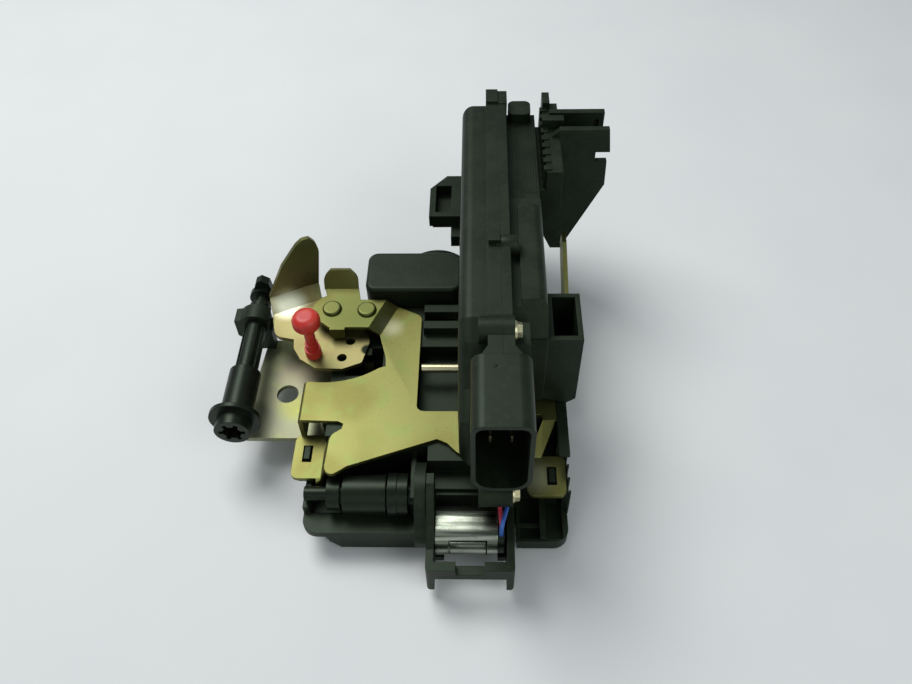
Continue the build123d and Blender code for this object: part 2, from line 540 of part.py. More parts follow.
def make_motor_cage():
    x0, x1, y0, y1 = CAGE
    z0, z1 = CAGE_Z
    cage = block(x0, x1, y0, y1, z0, z1) - block(x0 + 2.5, x1 - 2.4, y0 + 3.2, y1 - 1.4, z0, z1)
    cage -= block(x0 + 9.5, x1 - 9.5, y0, y0 + 4.0, z1 - 3.0, z1)
    cage -= block(x0 + 2.5, x1 - 2.4, y0, y0 + 3.2, z0, z1 - 6.0)
    for x in (x0 + 2.5, x1 - 5.2):
        cage += block(x, x + 2.8, -54.0, y1 - 1.0, z0, z0 + 2.6)
    # tall left wall and the cover that reaches over the two gears
    cage += slab([(-58.0, z1 - 0.5), (-50.0, z1 + 3.0), (-44.0, 28.0), (-40.0, 30.0), (y1 - 0.2, 30.0),
                  (y1 - 0.2, z1 - 0.5)], x0, x0 + 2.5, "x")
    cage += gear_room(10.4, 5.4, x0) - gear_room(9.6, 4.6, x0) - block(0, x0, -60.0, 0, 0, 8.8)
    cage -= rod(1.5, (x0, *MOTOR_AT), 3.0, "x")
    cage -= stadium_x(MOTOR_AT, MOTOR_W, MOTOR_T, *CAN_X)
    return round_edges(cage, 1.2, keep=lambda c: c.Y < y0 + 0.1 and (c.X < x0 + 0.1 or c.X > x1 - 0.1))


def lead(points, radius):
    """Insulated wire along straight runs joined by tangent arcs."""
    path = FilletPolyline(*points, radius=2.4)
    return sweep(Plane(origin=path @ 0, z_dir=path % 0) * Circle(radius), path=path)


LEAD_R = 0.7
LEAD_X = CAN_X[1] + 1.1
LEAD_TOP = MOTOR_AT[1] + MOTOR_T / 2 - 0.6    # upper face of the motor's end cap


def make_red_lead():
    return lead([(LEAD_X, -48.4, LEAD_TOP), (LEAD_X, -48.4, 21.8), (30.0, -43.6, 22.6),
                 (29.4, -36.0, 22.0)], LEAD_R)


def make_blue_lead():
    return lead([(LEAD_X, -51.8, LEAD_TOP), (LEAD_X, -51.8, 23.8), (32.4, -44.6, 23.2),
                 (31.8, -36.0, 21.6)], LEAD_R)


# ---- key shaft: splined shaft, sliding sleeve, bearing block --------------------------
SHAFT_R = 4.1
SLEEVE_R = 5.6


def key_rod(radius, y0, y1):
    return rod(radius, (KEY_AT[0], y0, KEY_AT[1]), y1 - y0, "y")


def make_key_shaft():
    shaft = key_rod(SHAFT_R, -2.0, 40.5) + key_rod(2.6, 40.5, 49.2)
    for i in range(4):
        groove = Pos(KEY_AT[0], 16.0, KEY_AT[1]) * Rot(0, 45 + 90 * i, 0) * Pos(SHAFT_R, 0, 0)
        shaft -= groove * Box(1.6, 26.0, 1.8)
    arm = slab([(KEY_AT[0] - 4.6, KEY_AT[1] - 1.0), (KEY_AT[0] + 4.6, KEY_AT[1] - 1.0), (-57.6, 31.6),
                (-60.4, 33.4), (-62.6, 32.0)], 45.9, 49.2, "y") + key_rod(4.8, 44.7, 47.1)
    return shaft + arm


def make_key_sleeve():
    sleeve = key_rod(SLEEVE_R, -17.5, 8.0) + key_rod(9.0, -12.6, -11.0)
    sleeve += key_rod(6.2, -17.5, -12.6)
    bore = key_rod(SHAFT_R + RUN, -2.6, 8.0) + key_rod(3.2, -17.5, -2.6)
    for i in range(3):
        bore += Pos(KEY_AT[0], -12.0, KEY_AT[1]) * Rot(0, 60 * i, 0) * Box(9.2, 11.0, 1.6)
    return sleeve - bore


def make_key_bearing():
    """Bearing block on the wing that carries the key shaft."""
    x, z = KEY_AT
    y0, y1 = 30.0, 36.4
    column = block(x - 3.4, x + 5.4, y0, 33.8, WING_TOP, z - 2.0) + key_rod(6.4, y0, y1)
    column -= block(x + 5.0, x + 7.0, y0, y1, LEVER_Z - 0.6, LEVER_TOP + 2.6)
    column += slab([(x - 7.6, 20.0), (x - 4.0, 17.0), (x - 4.0, 28.5), (x - 7.6, 28.0)], y0, y1, "y")
    return column - key_rod(SHAFT_R + RUN, y0, y1)


# ---- actuator: cover and base shells, standing on the back plate ----------------------
FLANGE = [(-36.0, 30.0), (100.0, 30.0), (104.6, 36.0), (104.6, 71.0), (100.6, 76.0), (-9.0, 76.0),
          (-16.0, 72.0), (-26.0, 62.0), (-36.0, 57.0)]
BULGE = [(-34.5, 31.5), (99.0, 31.5), (103.0, 37.0), (103.0, 69.5), (100.0, 73.8), (-8.0, 73.8),
         (-15.0, 70.0), (-25.0, 60.0), (-34.5, 55.5)]
BODY = [(-7.4, 30.0), (98.0, 30.0), (103.0, 36.0), (103.0, 67.5), (50.0, 67.5), (50.0, 72.0),
        (1.0, 72.0), (-7.4, 63.0)]
CHIN = [(-24.0, 30.0), (-7.0, 30.0), (-7.0, 70.0), (-15.0, 69.0), (-24.0, 60.0)]
SCREWS = [(-12.6, 73.0), (-42.6, 28.4), (94.0, 26.4), (44.0, 26.4)]
BOSS_R = 4.2
BOSS_X = (23.2, 34.0)
BOX = (45.0, 56.2, -7.4, 12.4, 31.0, 62.0)
LOCK_AT = (4.0, 50.0)       # y and z of the lock wheel axis
LOCK_MOTOR_AT = (15.45, 50.0)
LOCK_X = 20.2
ROD_AT = (8.3, 27.4)        # y and z of the lock rod at rest
ROD_R = 1.6


def hollow(points, amount, x0, x1):
    """The prism of a YZ polygon moved inwards, used as a cavity."""
    plane = Plane(origin=(x0, 0, 0), x_dir=(0, 1, 0), z_dir=(1, 0, 0))
    face = Face(Wire.make_polygon([Vector(a, b, 0) for a, b in points]))
    return extrude(plane * offset(face, -amount, kind=Kind.INTERSECTION), x1 - x0)


def lock_slot():
    """Gap in the cover's floor and side wall that the lock rod swings in."""
    return block(12.0, 25.0, -9.5, 13.5, 24.0, 34.0)


def hood_space(grow):
    x0, x1, y0, y1, z0, z1 = HOOD
    return block(x0 - grow, x1 + grow, y0, y1 + grow, z0 - grow, z1 + grow)


def make_actuator_cover():
    bulge = slab(BULGE, COVER_X, FLANGE_X + 0.1, "x")
    outer = bulge.edges().filter_by(lambda e: e.center().X < COVER_X + 0.1)
    bulge = fillet(outer, 4.2)
    cover = bulge + slab(FLANGE, FLANGE_X, SEAM_X, "x")
    cover += block(FLANGE_X, SEAM_X, 98.0, 106.0, 68.0, 77.2)
    cover += block(26.4, 30.2, 20.8, 24.8, 75.0, 78.0)
    for y, z in SCREWS:
        cover += rod(BOSS_R, (BOSS_X[0], y, z), SEAM_X - BOSS_X[0], "x")
    cover += block(26.0, SEAM_X, -42.6, -30.0, 24.4, 32.4)
    # two-armed guide hook on the outer side
    hook = block(4.2, COVER_X + 1.0, 66.0, 90.0, 43.0, 48.0) - block(6.6, 12.6, 68.4, 84.0, 43.0, 48.0)
    hook -= slab([(4.0, 82.0), (11.5, 91.0), (4.0, 91.0)], 43.0, 48.0)
    cover += hook + block(12.6, COVER_X + 1.0, 60.0, 90.0, 38.0, 43.0)
    cover += block(5.4, COVER_X + 1.0, 66.8, 88.0, 41.6, 43.0)
    cover -= hollow(BULGE, 1.8, COVER_X + 1.8, SEAM_X) - block(0, 60, -60, -20.0, 0, 90)
    cover += slab([(26.0, -13.0), (26.0, -20.0), (23.4, -24.5), (SEAM_X, -24.5), (SEAM_X, -13.0)],
                  64.0, 75.0)
    cover -= hood_space(0.2)
    for y, z in SCREWS:
        cover -= rod(SCREW_R, (BOSS_X[0] + 1.2, y, z), 12.0, "x")
    return cover - lock_slot()


def make_actuator_base():
    base = slab(FLANGE, SEAM_X, BASE_FLANGE_X, "x")
    body = slab(BODY, SEAM_X, BASE_X, "x")
    top = body.edges().filter_by(Axis.Y).filter_by(lambda e: e.center().Z > 70 and e.center().X > 44)
    base += fillet(top, 3.0) + slab(CHIN, SEAM_X, 39.0, "x")
    base += block(SEAM_X, BOSS_X[1], 98.0, 106.0, 68.0, 76.4)
    base += round_edges(block(34.6, 43.2, 97.0, 105.8, 60.0, 72.0), 2.4)
    base -= block(BASE_FLANGE_X, 36.6, -6.0, 50.0, 70.4, 73.0) + block(36.0, BASE_X, 45.0, 50.0, 70.4, 73.0)
    base += block(SEAM_X, 34.0, -42.6, -30.0, 24.4, 32.4)
    # neck and connector hood
    x0, x1, y0, y1, z0, z1 = HOOD
    hood = block(*HOOD)
    hood = fillet(hood.edges().filter_by(Axis.Y).sort_by(Axis.Z)[:2], 6.5)
    hood = fillet(hood.edges().filter_by(Axis.Y).sort_by(Axis.Z)[-2:], 4.0)
    socket = block(x0 + HOOD_WALL, x1 - HOOD_WALL, y0, y1 - 2.4, z0 + HOOD_WALL, z1 - HOOD_WALL)
    socket = fillet(socket.edges().filter_by(Axis.Y).sort_by(Axis.Z)[:2], 5.2)
    socket = fillet(socket.edges().filter_by(Axis.Y).sort_by(Axis.Z)[-2:], 2.8)
    neck = slab([(SEAM_X, -13.0), (34.0, -13.0), (34.0, -20.0), (37.0, -24.5), (SEAM_X, -24.5)],
                64.0, 75.0)
    base += neck + hood
    # open pocket on the outer side
    bx0, bx1, by0, by1, bz0, bz1 = BOX
    pocket = slab([(bx0, bz0), (bx1 - 3.0, bz0 - 2.5), (bx1, bz0), (bx1, bz1), (bx0, bz1)], by0, by1, "y")
    base += pocket + block(37.4, bx0, by0 - 0.4, by0 + 1.2, 32.0, bz1)
    for y, z in SCREWS:
        base += rod(BOSS_R, (SEAM_X, y, z), BOSS_X[1] - SEAM_X, "x")
    base -= hollow(BODY, WALL, SEAM_X, BASE_X - WALL) - block(0, 60, 48.0, 52.0, 60.0, 90.0)
    base -= block(SEAM_X, 37.0, -22.0, -5.0, 32.0, 60.0)
    base -= socket
    base -= block(bx0 + WALL, bx1 - 1.6, by0 + 1.8, by1 - 1.6, bz0 + 1.6, bz1)
    for y, z in SCREWS:
        base -= rod(SCREW_R, (SEAM_X, y, z), 12.0, "x")
    return base - lock_slot()


def make_cover_screws():
    screws = []
    for y, z in SCREWS:
        head = fillet(rod(HEAD_R, (BOSS_X[1], y, z), 2.4, "x").edges().sort_by(Axis.X)[-1], 1.1)
        screw = head + rod(SCREW_R, (BOSS_X[0] + 1.6, y, z), BOSS_X[1] - BOSS_X[0] - 1.6, "x")
        screws.append(screw - block(BOSS_X[1] + 1.5, 40.0, y - 0.4, y + 0.4, z - 1.9, z + 1.9))
    return Compound(children=screws)


def make_connector_terminals():
    """Two columns of blade terminals that stand in the hood."""
    blades = [block(x, x + 0.8, -36.0, -26.4, z, z + 2.8) for x in (26.4, 33.0)
              for z in (48.0, 55.0, 62.0, 69.0)]
    return Compound(children=blades)


def make_cable_bracket():
    """Holder for the inner handle cable: toothed rail, two arms and a gusset."""
    rail = block(45.0, 53.5, 62.0, 100.0, 56.0, 64.0) + block(47.6, 53.5, 62.0, 104.0, 62.0, 72.0)
    rail += block(47.6, 50.4, 100.0, 107.0, 66.0, 75.0) + block(47.0, 55.0, 87.4, 90.6, 70.0, 76.0)
    for i in range(9):
        rail += block(46.6, 49.4, 63.0 + 4.4 * i, 65.4 + 4.4 * i, 64.0, 72.6)
    front = slab([(45.0, 61.0), (72.0, 61.0), (72.4, 50.0), (57.6, 16.0), (53.4, 16.0), (45.0, 34.0)],
                 82.0, 84.4, "y")
    front += block(50.0, 67.4, 82.0, 84.4, 60.0, 66.0)
    front += slab([(50.0, 65.4), (72.8, 65.4), (71.6, 75.4), (53.5, 75.4), (50.0, 72.0)], 82.0, 84.4, "y")
    rear = slab([(50.0, 60.0), (70.6, 62.0), (70.6, 76.0), (50.0, 76.0)], 92.0, 94.4, "y")
    rear -= block(66.4, 68.6, 92.0, 93.6, 68.0, 73.0)
    shelf = block(52.0, 60.0, 84.0, 92.4, 60.0, 62.4)
    return rail + front + rear + shelf


def make_lock_lever():
    """Wheel driven by the lock motor, its arm and the rod that locks the latch."""
    wheel = gear(WHEEL_TEETH, LOCK_AT, LOCK_X, 3.0, 0.0)
    arm = slab([(LOCK_AT[0] - 3.4, LOCK_AT[1]), (ROD_AT[0] - 2.4, ROD_AT[1]),
                (ROD_AT[0] + 2.4, ROD_AT[1] + 0.6), (LOCK_AT[0] + 4.4, LOCK_AT[1])], LOCK_X + 3.0,
               LOCK_X + 4.4, "x")
    arm += rod(2.5, (LOCK_X + 3.0, *ROD_AT), 1.4, "x")
    return wheel + arm - rod(1.5 + RUN, (LOCK_X, *LOCK_AT), 5.0, "x") - rod(ROD_R, (2.4, *ROD_AT), 30, "x")


def make_lock_rod():
    return rod(ROD_R, (3.0, *ROD_AT), 21.0, "x")


def make_lock_pivot():
    return rod(1.5, (COVER_X + 1.8, *LOCK_AT), BASE_X - WALL - COVER_X - 1.8, "x")


def make_lock_pinion():
    pinion = gear(PINION_TEETH, LOCK_MOTOR_AT, LOCK_X, 3.0, 180.0 / PINION_TEETH)
    return pinion - rod(0.9, (LOCK_X, *LOCK_MOTOR_AT), 3.0, "x")


def make_lock_shaft():
    return rod(0.9, (LOCK_X - 0.4, *LOCK_MOTOR_AT), 18.0, "x")


def make_lock_motor():
    can = stadium_x((LOCK_MOTOR_AT[0] + 2.0, LOCK_MOTOR_AT[1]), 18.0, 15.0, 25.6, BASE_X - WALL)
    can -= stadium_x((LOCK_MOTOR_AT[0] + 2.0, LOCK_MOTOR_AT[1]), 16.0, 13.0, 26.6, BASE_X - WALL - 1.0)
    return can - rod(0.9 + RUN, (25.0, *LOCK_MOTOR_AT), 13.6, "x")


def make_lock_armature():
    """Wound armature of the lock motor."""
    return rod(5.0, (27.6, *LOCK_MOTOR_AT), 10.0, "x") - rod(0.9, (27.6, *LOCK_MOTOR_AT), 10.0, "x")


def make_position_switch():
    """Switch that reports the lock state, with its plunger."""
    body = block(26.0, 32.0, 36.0, 49.0, 44.0, 52.0) + block(28.0, 30.0, 34.0, 36.0, 46.0, 48.0)
    return body


def make_circuit_carrier():
    """Stamped conductor carrier against the base wall."""
    plate = block(40.6, 42.0, 30.0, 92.0, 36.0, 60.0)
    for y in (38.0, 52.0, 66.0, 80.0):
        plate -= block(40.6, 42.0, y, y + 7.0, 42.0, 54.0)
    return plate + block(42.0, BASE_X - WALL, 84.0, 90.0, 46.0, 52.0)


INNER_AT = (20.0, 25.0)
INNER_X = 55.0


def make_inner_lever():
    """Inner handle lever on the outer right side, with its cable eye."""
    arm = slab([(14.5, 22.0), (20.0, 19.6), (28.0, 21.0), (60.0, 33.0), (64.0, 37.0), (63.0, 42.0),
                (57.0, 43.0), (24.0, 31.0), (16.0, 30.0)], INNER_X, INNER_X + 1.6, "x")
    arm -= rod(1.8, (INNER_X, 59.6, 38.4), 1.6, "x")
    return arm - rod(2.5 + RUN, (INNER_X, *INNER_AT), 1.6, "x")


def make_inner_pin():
    pin = rod(2.5, (CASE[1], *INNER_AT), INNER_X + 2.7 - CASE[1], "x")
    return pin + rod(4.0, (CASE[1], *INNER_AT), 1.4, "x") + rod(4.0, (INNER_X + 1.7, *INNER_AT), 1.0, "x")


MAKERS = [make_face_plate, make_back_plate, make_release_lever, make_claw, make_pawl, make_claw_pin,
          make_pawl_pin, make_lever_pin, make_claw_spring, make_pawl_spring, make_lever_spring,
          make_emergency_pin, make_latch_housing, make_striker_cover, make_striker_buffer,
          make_drive_spindle, make_spindle_wheel, make_motor_pinion, make_motor_shaft,
          make_motor_can, make_motor_endcap, make_motor_rotor, make_motor_magnets, make_motor_cage,
          make_red_lead, make_blue_lead,
          make_key_shaft, make_key_sleeve, make_key_bearing, make_actuator_cover,
          make_actuator_base, make_cover_screws, make_connector_terminals, make_cable_bracket,
          make_lock_lever, make_lock_rod, make_lock_pivot, make_lock_pinion, make_lock_shaft,
          make_lock_motor, make_lock_armature, make_position_switch, make_circuit_carrier, make_inner_lever,
          make_inner_pin]

for maker in MAKERS:
    save(maker(), maker.__name__[5:])
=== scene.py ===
# %% [markdown]
# A vehicle door latch with its upright lock actuator.  The solids come from the part's
# own CAD model, so this lesson starts by loading them and never moves them.  What is
# left to Blender is the look: the finish of every surface and the small moulded or
# pressed forms that are easier to make as meshes.

import math

import bmesh
import bpy
from mathutils import Matrix, Vector


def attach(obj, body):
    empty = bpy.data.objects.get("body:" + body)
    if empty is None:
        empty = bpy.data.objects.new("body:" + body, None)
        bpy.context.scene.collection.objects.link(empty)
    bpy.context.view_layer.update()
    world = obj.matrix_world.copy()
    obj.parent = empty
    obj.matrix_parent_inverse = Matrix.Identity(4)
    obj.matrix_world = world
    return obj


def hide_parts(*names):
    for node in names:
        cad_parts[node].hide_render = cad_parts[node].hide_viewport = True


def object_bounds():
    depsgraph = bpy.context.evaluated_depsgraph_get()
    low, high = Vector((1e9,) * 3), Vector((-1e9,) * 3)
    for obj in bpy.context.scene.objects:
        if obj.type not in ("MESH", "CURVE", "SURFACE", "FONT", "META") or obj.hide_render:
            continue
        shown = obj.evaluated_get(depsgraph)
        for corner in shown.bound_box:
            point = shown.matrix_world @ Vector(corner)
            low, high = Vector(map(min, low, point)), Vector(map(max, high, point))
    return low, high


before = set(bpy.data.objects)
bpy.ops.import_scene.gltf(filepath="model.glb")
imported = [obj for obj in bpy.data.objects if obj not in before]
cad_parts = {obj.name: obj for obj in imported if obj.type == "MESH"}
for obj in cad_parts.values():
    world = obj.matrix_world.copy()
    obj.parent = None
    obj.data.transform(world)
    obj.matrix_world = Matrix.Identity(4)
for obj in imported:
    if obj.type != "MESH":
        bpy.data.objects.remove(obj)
box_after_load = [list(corner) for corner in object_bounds()]
MM = 0.001

# %% [markdown]
# The camera stands in front of the latch and looks down on it, at about 50 degrees
# above the table.  Its place is worked out from the point it looks at, the way it is
# turned and its distance, because those three are easy to judge and to change.

# %% Camera
LOOK_AT = Vector((15, 20, 28)) * MM
DISTANCE = 0.3
ELEVATION = math.radians(50.3)
TURN = math.radians(2.5)
ROLL = math.radians(-1.9)
FOCAL_PIXELS = 820
IMAGE_WIDTH = 912
SENSOR = 36.0

back = Vector((math.sin(TURN) * math.cos(ELEVATION), -math.cos(TURN) * math.cos(ELEVATION),
               math.sin(ELEVATION)))
level = Vector((math.cos(TURN), math.sin(TURN), 0))
upward = back.cross(level)
right = level * math.cos(ROLL) + upward * math.sin(ROLL)
up = -level * math.sin(ROLL) + upward * math.cos(ROLL)

camera_data = bpy.data.cameras.new("camera")
camera_data.sensor_width = SENSOR
camera_data.lens = FOCAL_PIXELS * SENSOR / IMAGE_WIDTH
camera_data.clip_start = 0.01
camera = bpy.data.objects.new("camera", camera_data)
bpy.context.scene.collection.objects.link(camera)
camera.matrix_world = Matrix((right, up, back)).transposed().to_4x4()
camera.location = LOOK_AT + back * DISTANCE
bpy.context.scene.camera = camera
print("camera at", [round(c, 4) for c in camera.location], "lens", round(camera_data.lens, 2))

# %% [markdown]
# A material is a small program that runs at every point of a surface.  Written as
# plain sums in Python it is far easier to read than as boxes and links, so one class
# wraps a socket and turns + - * into Math nodes, and one class holds the tree.


# %% Shader helpers
class Value:
    """One number that varies over a surface.  Sums on it add Math nodes."""

    def __init__(self, finish, socket):
        self.finish = finish
        self.socket = socket

    def math(self, operation, first, second):
        return self.finish.node("ShaderNodeMath", {0: first, 1: second}, operation=operation,
                                use_clamp=False)

    def __add__(self, other):
        return self.math("ADD", self, other)

    __radd__ = __add__

    def __sub__(self, other):
        return self.math("SUBTRACT", self, other)

    def __rsub__(self, other):
        return self.math("SUBTRACT", other, self)

    def __mul__(self, other):
        return self.math("MULTIPLY", self, other)

    __rmul__ = __mul__

    def clipped(self, low, high):
        """The value between low and high, stretched to 0..1 and smoothed."""
        return self.finish.node("ShaderNodeMapRange", {"Value": self, "From Min": low,
                                                       "From Max": high},
                                interpolation_type="SMOOTHSTEP")


class Finish:
    """A Principled material with helpers for its patterns, all on Object coordinates."""

    def __init__(self, name, **constants):
        self.material = bpy.data.materials.new(name)
        self.material.use_nodes = True
        self.tree = self.material.node_tree
        self.shader = self.tree.nodes["Principled BSDF"]
        for socket, value in constants.items():
            self.shader.inputs[socket.replace("_", " ")].default_value = value
        self.place = self.node("ShaderNodeTexCoord", {}, output="Object")

    def node(self, kind, sockets, output=0, **settings):
        """Adds a node: its settings first, then the values or links of its sockets."""
        made = self.tree.nodes.new(kind)
        for key, value in settings.items():
            setattr(made, key, value)
        for key, value in sockets.items():
            if isinstance(value, Value):
                self.tree.links.new(value.socket, made.inputs[key])
            else:
                made.inputs[key].default_value = value
        return Value(self, made.outputs[output])

    def stretched(self, x, y, z):
        """Object coordinates drawn out along an axis, for brushing and rolling marks."""
        return self.node("ShaderNodeMapping", {"Vector": self.place, "Scale": (x, y, z)})

    def noise(self, size_mm, detail=2.0, roughness=0.5, at=None, distortion=0.0):
        """Soft spots about size_mm across, from 0 to 1."""
        return self.node("ShaderNodeTexNoise",
                         {"Vector": at or self.place, "Scale": 1.0 / (size_mm * MM),
                          "Detail": detail, "Roughness": roughness, "Distortion": distortion})

    def mix(self, amount, first, second):
        sockets = {0: amount, 6: first, 7: second}
        return self.node("ShaderNodeMix", sockets, output=2, data_type="RGBA", blend_type="MIX")

    def rounded(self, radius_mm):
        """Normal of the surface with its sharp edges rounded off."""
        return self.node("ShaderNodeBevel", {"Radius": radius_mm * MM}, samples=6)

    def edges(self, rounded):
        """1 along sharp edges and 0 on flats."""
        flat = self.node("ShaderNodeNewGeometry", {}, output="Normal")
        along = self.node("ShaderNodeVectorMath", {0: rounded, 1: flat}, output="Value",
                          operation="DOT_PRODUCT")
        return (1.0 - along).clipped(0.01, 0.25)

    def bump(self, height, depth_mm, normal=None):
        sockets = {"Height": height, "Distance": depth_mm * MM, "Strength": 1.0}
        if normal:
            sockets["Normal"] = normal
        return self.node("ShaderNodeBump", sockets)

    def near(self, point_mm, full_mm, none_mm):
        """1 within one distance of a point, falling to 0 at another distance."""
        away = self.node("ShaderNodeVectorMath", {0: self.place, 1: [c * MM for c in point_mm]},
                         output="Value", operation="DISTANCE")
        return away.clipped(none_mm * MM, full_mm * MM)

    def wear(self, **inputs):
        """Links the varying inputs of the shader and gives the material back."""
        for socket, value in inputs.items():
            self.tree.links.new(value.socket, self.shader.inputs[socket.replace("_", " ")])
        return self.material


def give(material, *node_names):
    """Puts a material on CAD nodes."""
    for name in node_names:
        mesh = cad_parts[name].data
        mesh.materials.clear()
        mesh.materials.append(material)


print("shader helpers ready")

# %% [markdown]
# Moulded black plastic is never pure black: glass or mineral filler makes it a dark
# olive grey, its skin has a fine grain, and its edges are lighter, partly from rubbing
# and partly as a painted highlight.  The grain is bump from two noises, and a Bevel
# node both rounds the sharp edges of the solids and says where they are.


# %% Black mouldings
def black_moulding(name, colour, lighter, roughness, grain_mm=0.25, radius_mm=0.35):
    finish = Finish(name, Specular_IOR_Level=0.26, Specular_Tint=(0.78, 1.0, 0.74, 1))
    cloud = finish.noise(9.0, detail=3.0)
    fine = finish.noise(grain_mm, detail=1.0)
    rounded = finish.rounded(radius_mm)
    edge = finish.edges(rounded)
    dust = finish.noise(2.2, detail=4.0, roughness=0.7).clipped(0.5, 0.72)
    base = finish.mix(cloud.clipped(0.35, 0.65), (*colour, 1), (*lighter, 1))
    # Dust, and sharp edges made lighter partly as rubbing and partly as a painted highlight.
    base = finish.mix(dust * 0.35 + edge * 0.4, base, (*[c * 2.4 for c in lighter], 1))
    rough = roughness + 0.12 * cloud - 0.1 * edge
    return finish.wear(Base_Color=base, Roughness=rough,
                       Normal=finish.bump(fine + 0.5 * cloud, 0.012, rounded))


BLACK = black_moulding("black_moulding", (0.0055, 0.0085, 0.005), (0.010, 0.014, 0.008), 0.4)
BLACK_GLOSS = black_moulding("black_moulding_gloss", (0.004, 0.0055, 0.004),
                             (0.007, 0.009, 0.006), 0.3, grain_mm=0.4)
give(BLACK, "latch_housing", "striker_cover", "actuator_cover", "actuator_base",
     "cable_bracket", "motor_cage", "key_bearing")
give(BLACK_GLOSS, "key_shaft", "key_sleeve", "drive_spindle", "spindle_wheel", "motor_pinion",
     "lock_lever", "lock_pinion", "motor_endcap", "position_switch", "circuit_carrier")
print("black finishes on 17 nodes")

# %% [markdown]
# Zinc plate with a yellow passivation is a thin iridescent film.  It is olive gold
# with drifts towards green and rose, darker runs where the bath drained, and sheared
# edges that are lighter, partly as bright scuffs and partly as a painted highlight
# along the rim.  A few local spots are painted highlights and painted shadow; others
# are stains or patches of tone.


# %% Yellow passivated zinc
def passivated(name, pale, deep, tint, roughness=0.36, radius_mm=0.2, spots=()):
    """Zinc finish.  A spot is a point, two fading distances, a colour and a strength; the spots
    carry painted highlights, painted shadow, stains and tone patches.
    """
    finish = Finish(name, Metallic=1.0)
    broad = finish.noise(22.0, detail=1.5)
    mottle = finish.noise(1.1, detail=4.0, roughness=0.7)
    fine = finish.noise(0.35, detail=2.0)
    drift = finish.noise(7.0, detail=3.0, distortion=0.4)
    rounded = finish.rounded(radius_mm)
    edge = finish.edges(rounded)
    base = finish.mix(broad.clipped(0.36, 0.64) * 0.7, (*pale, 1), (*deep, 1))
    base = finish.mix(drift.clipped(0.52, 0.7) * 0.4, base, (*tint, 1))
    base = finish.mix(mottle.clipped(0.55, 0.72) * 0.3, base, (*[1.45 * c for c in pale], 1))
    base = finish.mix(mottle.clipped(0.46, 0.3) * 0.3, base, (*[0.5 * c for c in deep], 1))
    # Sheared edges lighter: partly bright scuffs, partly a painted highlight along the rim.
    base = finish.mix(edge * 0.7, base, (*[min(1.0, 1.9 * c) for c in pale], 1))
    # Local spots: painted highlights, painted shadow, stains and tone patches.
    for point, full_mm, none_mm, colour, strength in spots:
        patchy = finish.near(point, full_mm, none_mm) * (0.7 + 0.5 * drift) * strength
        base = finish.mix(patchy, base, (*colour, 1))
    rough = roughness + 0.16 * mottle + 0.05 * fine - 0.08 * edge
    return finish.wear(Base_Color=base, Roughness=rough,
                       Normal=finish.bump(mottle + 0.5 * fine, 0.01, rounded))


# GLARE is the colour of a painted highlight; STAIN is a real stain.
GLARE = (0.86, 0.88, 0.68)
STAIN = (0.42, 0.44, 0.07)
# Painted highlights on the back plate's step up to the raised bracket and near the right foot
# (GLARE); between them a darker patch over the raised bracket.
YELLOW_ZINC = passivated("yellow_zinc", (0.20, 0.20, 0.068), (0.14, 0.13, 0.038),
                         (0.16, 0.22, 0.065),
                         spots=[((-9.0, 27.0, 31.0), 0.5, 7.0, GLARE, 0.35),
                                ((-24.0, 30.0, 32.0), 6.0, 17.0, (0.11, 0.13, 0.04), 0.7),
                                ((42.0, -30.0, 20.0), 2.0, 9.0, GLARE, 0.3)])
# A painted highlight on the lever's bend (GLARE), a darker olive patch towards the top of the blade,
# and a painted shadow darkening the lever's finger below the plate.
LEVER_ZINC = passivated("lever_zinc", (0.25, 0.225, 0.10), (0.19, 0.155, 0.068),
                        (0.22, 0.27, 0.09),
                        spots=[((-50.0, 40.5, 25.0), 2.0, 9.0, GLARE, 0.9),
                               ((-50.0, 50.0, 50.0), 8.0, 20.0, (0.13, 0.16, 0.05), 0.6),
                               ((-17.8, 18.7, 22.6), 3.0, 3.9, (0.012, 0.015, 0.01), 1.2)])
GREY_ZINC = passivated("grey_zinc", (0.34, 0.37, 0.23), (0.26, 0.245, 0.17),
                       (0.36, 0.41, 0.15), roughness=0.48,
                       spots=[((-45.0, 2.0, 12.0), 2.0, 8.5, STAIN, 0.5),
                              ((-44.0, 20.0, 12.0), 3.0, 14.0, (0.27, 0.20, 0.17), 0.5),
                              ((-57.0, -5.0, 12.0), 2.0, 14.0, (0.30, 0.32, 0.24), 0.5)])
BRIGHT_ZINC = passivated("bright_zinc", (0.62, 0.58, 0.38), (0.46, 0.42, 0.24),
                         (0.56, 0.54, 0.26), roughness=0.28)
STEEL = passivated("greased_steel", (0.28, 0.28, 0.27), (0.18, 0.18, 0.17),
                   (0.24, 0.22, 0.18), roughness=0.3)
give(YELLOW_ZINC, "back_plate", "release_lever", "lever_pin", "claw_pin", "inner_lever")
give(GREY_ZINC, "face_plate")
give(BRIGHT_ZINC, "cover_screws", "lock_rod", "inner_pin", "pawl_pin")
give(STEEL, "claw", "pawl", "claw_spring", "pawl_spring", "lever_spring", "motor_shaft",
     "lock_shaft", "lock_pivot", "motor_magnets")
print("zinc and steel finishes made")

# %% [markdown]
# The motor can is drawn from nickel-plated sheet, so it is bright and streaked along
# its length.  The remaining small pieces get a finish each.


